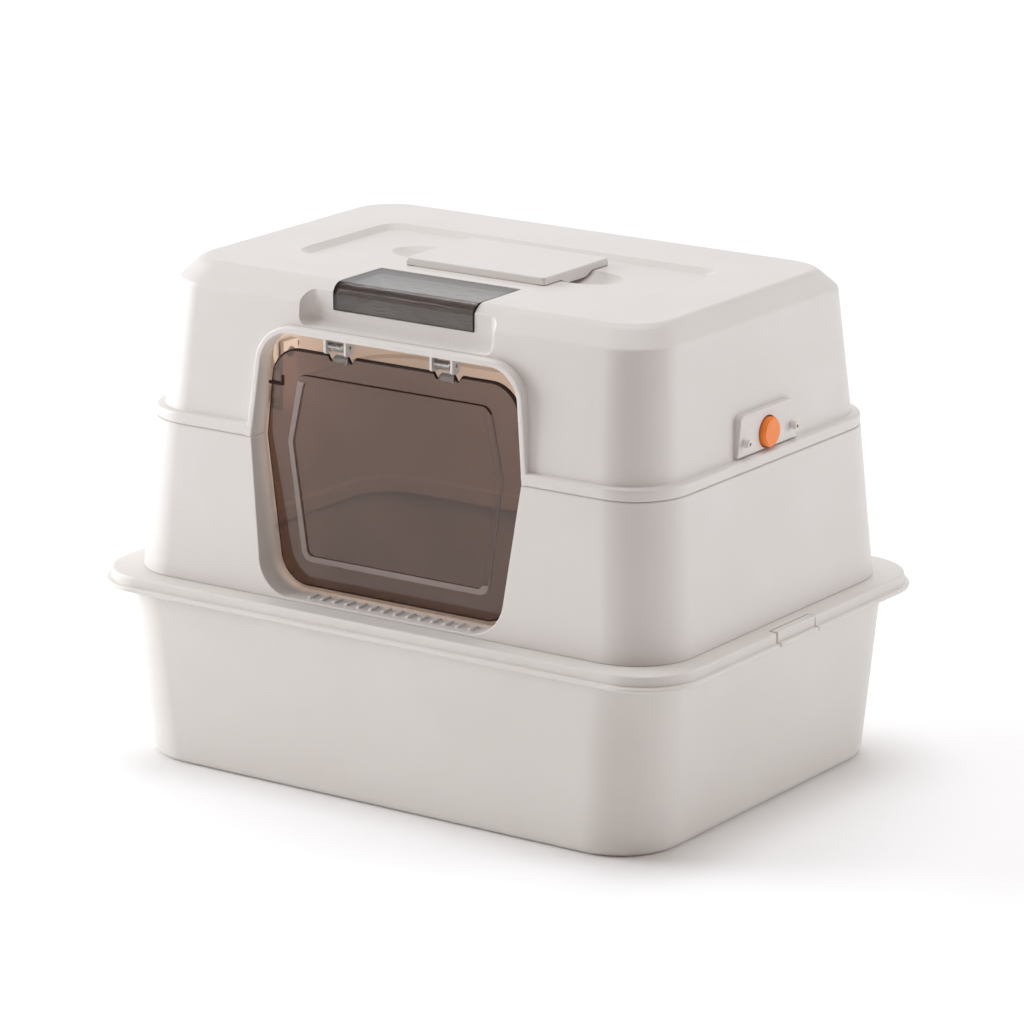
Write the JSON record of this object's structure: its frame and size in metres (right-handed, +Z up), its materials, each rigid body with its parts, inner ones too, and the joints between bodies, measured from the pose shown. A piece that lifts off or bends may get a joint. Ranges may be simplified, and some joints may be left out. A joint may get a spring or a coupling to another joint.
{
  "type": "hooded cat litter box",
  "caption": "Three-part hooded cat litter box: tapered pan, surround and hood with a see-through swing flap, a filtered roof vent, a pull-up handle and side push-button locks.",
  "frame": {"origin": "centre of the pan's underside, on the floor", "axes": "+X to the right across the doorway, -Y out of the doorway (front), +Z up"},
  "size_m": [0.52, 0.371, 0.38],
  "materials": {
    "pan_pp": "satin moulded polypropylene, warm white",
    "shell_pp": "satin moulded polypropylene, warm white",
    "smoke_clear": "clear smoke-brown styrene acrylonitrile, polished",
    "button_abs": "moulded ABS, orange",
    "inner_pp": "moulded polypropylene, inside parts",
    "carbon_pad": "charcoal-filled filter felt",
    "steel_screw": "zinc-plated steel",
    "spring_steel": "drawn spring steel wire",
    "pin_steel": "ground stainless pin"
  },
  "bodies": {
    "pan": {"litter_pan": "pan_pp", "rim_clip_right": "pan_pp", "rim_clip_left": "pan_pp"},
    "surround": {"mid_surround": "shell_pp", "latch_keeper_right": "inner_pp", "latch_keeper_left": "inner_pp"},
    "hood": {"hood_shell": "shell_pp", "vent_grille": "inner_pp", "filter_frame": "inner_pp", "filter_frame_screws": "steel_screw", "filter_pad": "carbon_pad", "hinge_bracket_right": "shell_pp", "hinge_bracket_left": "shell_pp", "hinge_pin_right": "pin_steel", "hinge_pin_left": "pin_steel", "lock_plate_right": "shell_pp", "lock_plate_left": "shell_pp", "side_pegs_right": "shell_pp", "side_pegs_left": "shell_pp", "lock_housing_right": "inner_pp", "lock_housing_left": "inner_pp", "lock_housing_screws": "steel_screw", "lock_spring_right": "spring_steel", "lock_spring_left": "spring_steel"},
    "flap": {"door_flap": "smoke_clear", "flap_tab": "smoke_clear"},
    "vent_lid": {"vent_cover": "smoke_clear"},
    "handle": {"handle_plate": "shell_pp", "handle_posts": "inner_pp", "handle_stops": "inner_pp", "handle_screws": "steel_screw"},
    "button_right": {"lock_button_right": "button_abs", "latch_arm_right": "inner_pp", "latch_screw_right": "steel_screw"},
    "button_left": {"lock_button_left": "button_abs", "latch_arm_left": "inner_pp", "latch_screw_left": "steel_screw"}
  },
  "joints": [
    {"name": "surround_lift", "type": "slide", "parent": "pan", "child": "surround", "axis": [0, 0, 1], "range_m": [0, 0.15]},
    {"name": "hood_lift", "type": "slide", "parent": "surround", "child": "hood", "axis": [0, 0, 1], "range_m": [0, 0.16]},
    {"name": "flap_swing", "type": "hinge", "parent": "hood", "child": "flap", "pos_m": [0, -0.146, 0.335], "axis": [1, 0, 0], "range_deg": [-75, 75]},
    {"name": "vent_cover_open", "type": "hinge", "parent": "hood", "child": "vent_lid", "pos_m": [0, -0.077, 0.3745], "axis": [-1, 0, 0], "range_deg": [0, 100]},
    {"name": "handle_lift", "type": "slide", "parent": "hood", "child": "handle", "axis": [0, 0, 1], "range_m": [0, 0.025]},
    {"name": "button_right_press", "type": "slide", "parent": "hood", "child": "button_right", "axis": [-1, 0, 0], "range_m": [0, 0.003], "stiffness_N_per_m": 1000, "springref_m": -0.002, "deforming": ["lock_spring_right"]},
    {"name": "button_left_press", "type": "slide", "parent": "hood", "child": "button_left", "axis": [1, 0, 0], "range_m": [0, 0.003], "stiffness_N_per_m": 1000, "springref_m": -0.002, "deforming": ["lock_spring_left"]}
  ]
}
